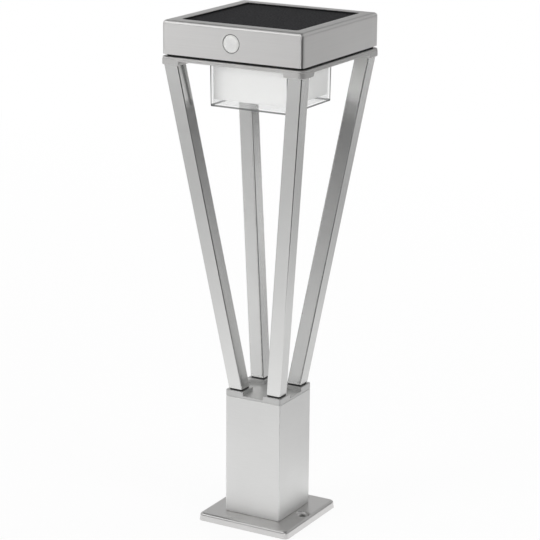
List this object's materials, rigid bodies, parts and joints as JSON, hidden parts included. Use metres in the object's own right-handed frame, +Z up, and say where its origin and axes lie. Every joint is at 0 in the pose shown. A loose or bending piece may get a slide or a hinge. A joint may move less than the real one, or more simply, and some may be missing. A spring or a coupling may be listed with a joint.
{
  "type": "solar ground light",
  "caption": "Square post on a screw-down base plate with leaning legs that carry a flat square head: solar panel on top, motion sensor in front, clear lens box with diffuser below.",
  "frame": {"origin": "on the ground under the middle of the base plate", "axes": "+Z up along the post; -Y is the front, where the motion sensor looks; +X to the right of the front"},
  "size_m": [0.1524, 0.1538, 0.5],
  "materials": {
    "brushed_stainless": "fine straight brushing",
    "satin_stainless": "satin ground",
    "pressed_stainless": "smooth pressed sheet",
    "zinc_steel": "bright zinc plated",
    "black_plastic": "fine moulded grain",
    "button_silicone": "soft matt",
    "black_rubber": "matt",
    "clear_acrylic": "clear moulded",
    "opal_plastic": "frosted",
    "sensor_plastic": "milky moulded",
    "solar_glass": "finely textured",
    "silicon_cell": "dark coated",
    "circuit_board": "solder mask",
    "led_board_white": "white solder mask",
    "led_phosphor": "phosphor gel",
    "connector_plastic": "moulded nylon",
    "tin_can": "tinned",
    "battery_wrap": "shrink sleeve",
    "lead_jacket": "matt sleeve"
  },
  "bodies": {
    "lamp": {"head_cover": "brushed_stainless", "head_floor": "brushed_stainless", "leg_crown": "brushed_stainless", "post_tube": "satin_stainless", "post_cap": "satin_stainless", "leg_front_left": "satin_stainless", "leg_front_right": "satin_stainless", "leg_rear_left": "satin_stainless", "leg_rear_right": "satin_stainless", "base_plate": "pressed_stainless", "insert_screws": "zinc_steel", "tie_rod": "zinc_steel", "tie_rod_washer": "zinc_steel", "tie_rod_nut": "zinc_steel", "leg_foot_screws": "zinc_steel", "leg_top_screws": "zinc_steel", "cover_screws": "zinc_steel", "board_screws": "zinc_steel", "battery_contacts": "zinc_steel", "head_tray": "black_plastic", "leg_foot_plugs": "black_plastic", "leg_top_plugs": "black_plastic", "post_foot_insert": "black_plastic", "sensor_holder": "black_plastic", "battery_holder": "black_plastic", "switch_body": "black_plastic", "panel_gasket": "black_rubber", "lens_seal": "black_rubber", "head_seal": "black_rubber", "lens_box": "clear_acrylic", "inner_diffuser": "opal_plastic", "sensor_lens": "sensor_plastic", "solar_glass": "solar_glass", "solar_cells": "silicon_cell", "panel_board": "circuit_board", "sensor_board": "circuit_board", "control_board": "circuit_board", "led_board": "led_board_white", "led_chips": "led_phosphor", "lead_connectors": "connector_plastic", "board_components": "connector_plastic", "sensor_can": "tin_can", "battery_cell": "battery_wrap", "solar_lead": "lead_jacket", "led_lead": "lead_jacket", "switch_lead": "lead_jacket", "sensor_lead": "lead_jacket", "battery_lead": "lead_jacket"},
    "button": {"switch_button": "button_silicone"}
  },
  "joints": [
    {"name": "button_press", "type": "slide", "parent": "lamp", "child": "button", "axis": [0, 0, 1], "range_m": [0, 0.0015], "stiffness_N_per_m": 300, "springref_m": -0.002}
  ]
}
